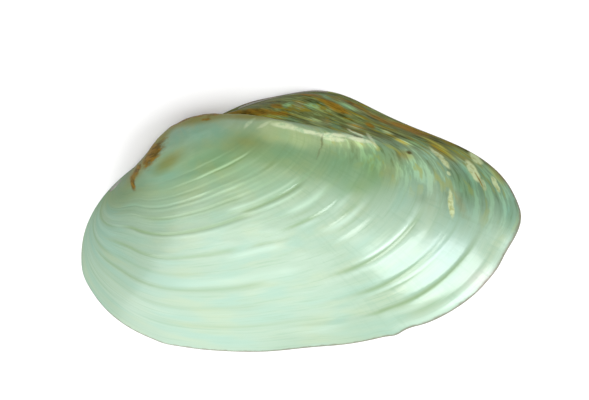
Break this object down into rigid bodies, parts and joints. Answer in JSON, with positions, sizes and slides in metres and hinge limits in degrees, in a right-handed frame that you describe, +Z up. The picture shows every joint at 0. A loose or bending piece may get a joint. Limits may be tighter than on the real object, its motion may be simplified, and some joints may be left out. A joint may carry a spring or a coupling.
{
  "type": "clam shell",
  "caption": "Left valve of a large polished freshwater pearl clam: a thin domed half shell with growth lines, a hinge plate with teeth and an open hollow, resting on its rim.",
  "frame": {"origin": "middle of the valve's box, in the plane of the rim that it rests on", "axes": "+X towards the hind end, along the valve's length; +Y towards the hinge side; +Z up, out of the domed outside"},
  "size_m": [0.1516, 0.0894, 0.0249],
  "materials": {
    "nacre": "Polished mother of pearl: pale mint green, greener at the umbo, with brown and ochre remains of the outer skin along the hinge side, fine growth lines, and a soft pink, green and blue play of colour."
  },
  "bodies": {
    "root": {"valve": "nacre"}
  },
  "joints": []
}
